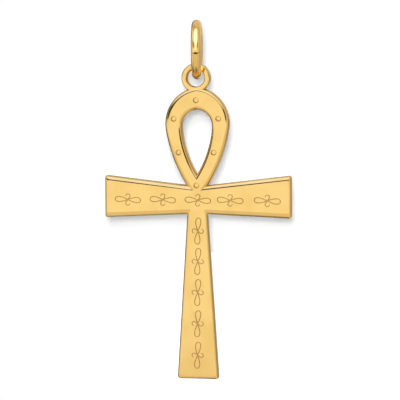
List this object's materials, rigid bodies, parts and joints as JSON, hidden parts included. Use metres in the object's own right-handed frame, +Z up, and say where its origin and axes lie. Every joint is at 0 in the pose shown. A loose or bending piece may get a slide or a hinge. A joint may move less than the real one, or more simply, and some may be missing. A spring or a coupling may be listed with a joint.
{
  "type": "ankh pendant",
  "caption": "Flat looped-cross pendant with a teardrop opening and flared arms, hanging from a round-wire jump ring.",
  "frame": {"origin": "inside top of the jump ring, the point where a chain bears", "axes": "+Z up along the hanging pendant, +X to the right across the arms, engraved front towards -Y"},
  "size_m": [0.0196, 0.006, 0.037],
  "materials": {
    "ring_gold": "polished 14-carat yellow gold wire",
    "plate_gold": "polished 14-carat yellow gold, fine brush marks, engraved scrolls"
  },
  "bodies": {
    "jump_ring": {"jump_ring": "ring_gold"},
    "ankh": {"ankh": "plate_gold"}
  },
  "joints": [
    {"name": "ankh_swing", "type": "hinge", "parent": "jump_ring", "child": "ankh", "pos_m": [0, 0, -0.00205], "axis": [0.9848, 0.1736, 0], "range_deg": [-120, 120]}
  ]
}
